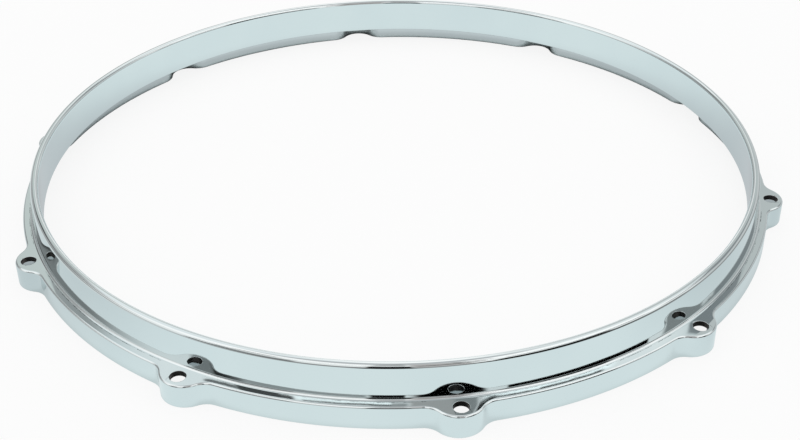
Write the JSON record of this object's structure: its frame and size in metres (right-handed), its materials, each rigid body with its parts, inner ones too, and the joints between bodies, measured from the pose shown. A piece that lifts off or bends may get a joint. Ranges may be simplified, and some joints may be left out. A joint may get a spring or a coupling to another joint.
{
  "type": "drum hoop",
  "caption": "Cast ring that clamps a drum's batter head: tall smooth rim, outward shelf, hanging skirt and rounded ears with holes for tension rods.",
  "frame": {"origin": "on the ring's axis, level with the lower edge of the skirt", "axes": "+Z along the ring's axis, from the skirt towards the rim's top; +X through the middle of one ear"},
  "size_m": [0.3904, 0.3752, 0.028],
  "materials": {
    "chrome_plate": "polished"
  },
  "bodies": {
    "root": {"hoop_casting": "chrome_plate"}
  },
  "joints": []
}
